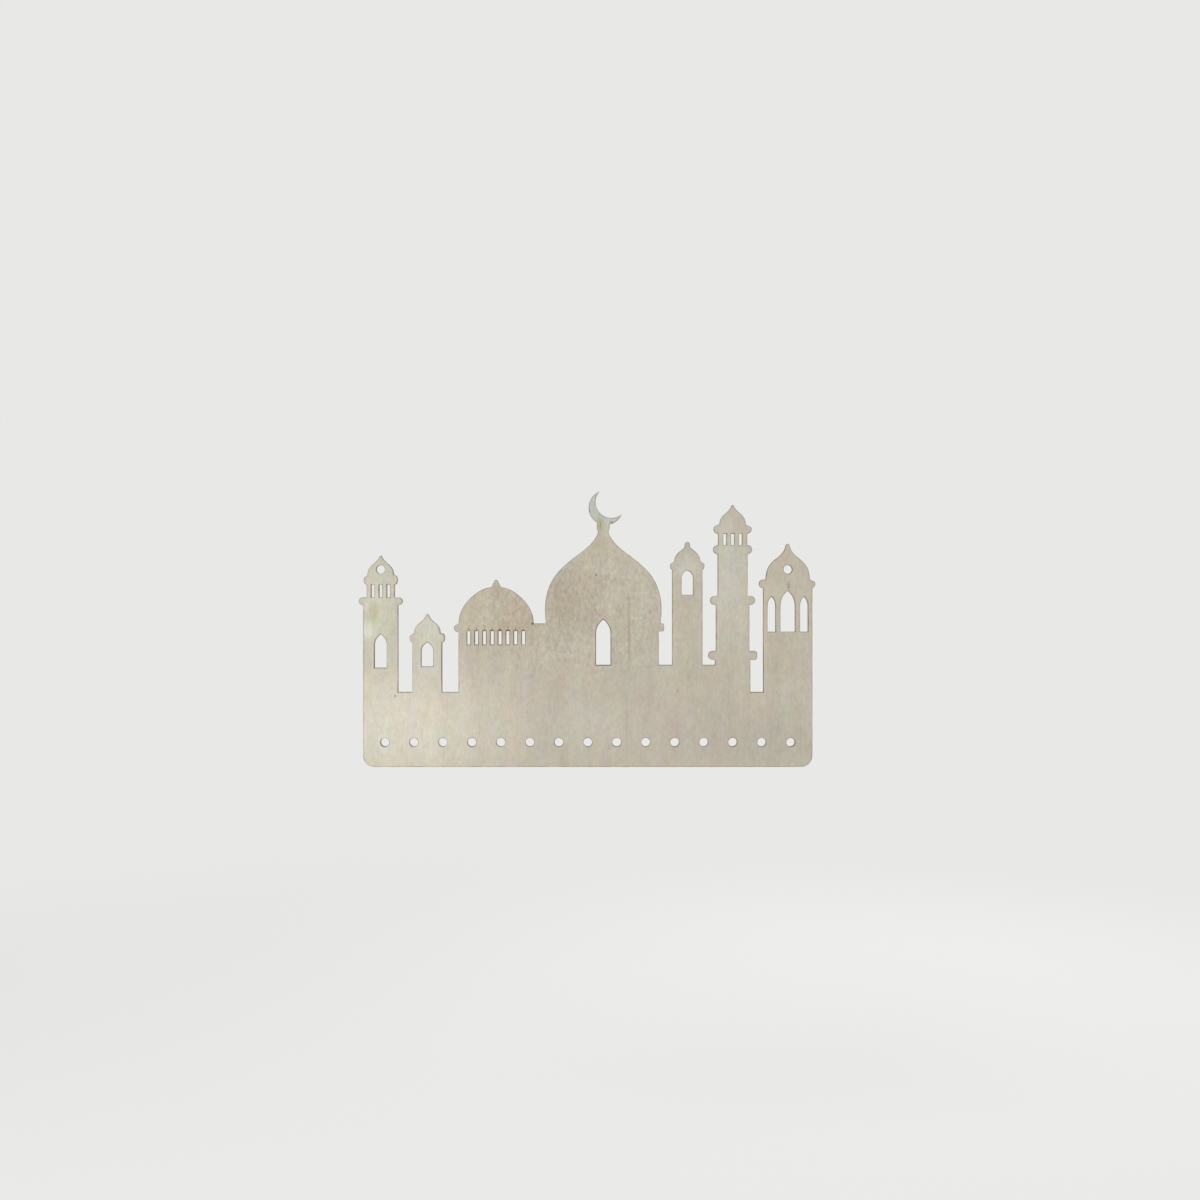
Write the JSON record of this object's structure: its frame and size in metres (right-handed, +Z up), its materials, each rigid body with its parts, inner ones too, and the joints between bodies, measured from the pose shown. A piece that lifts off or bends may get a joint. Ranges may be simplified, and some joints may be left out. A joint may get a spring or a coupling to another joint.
{
  "type": "hanging decoration",
  "caption": "Thin plywood skyline of domes and minarets with a crescent, hung by holes in its outer minarets, with a row of holes along its foot for pendants.",
  "frame": {"origin": "midway between the centres of the two hanging holes, at the middle of the board's thickness", "axes": "+X along the board's width to the viewer's right, +Z up, and the front face looks along -Y"},
  "size_m": [0.315, 0.003, 0.19],
  "materials": {
    "front_face_veneer": "sanded, unfinished pale wood with upright grain and laser-browned cut edges",
    "front_glue_line": "cured brown glue, browned further at the cut edge",
    "core_veneer": "unfinished cross-grain wood, browned at the laser-cut edge",
    "back_glue_line": "cured brown glue, browned further at the cut edge",
    "back_face_veneer": "sanded, unfinished pale wood with upright grain and laser-browned cut edges"
  },
  "bodies": {
    "root": {"front_face_veneer": "front_face_veneer", "front_glue_line": "front_glue_line", "core_veneer": "core_veneer", "back_glue_line": "back_glue_line", "back_face_veneer": "back_face_veneer"}
  },
  "joints": []
}
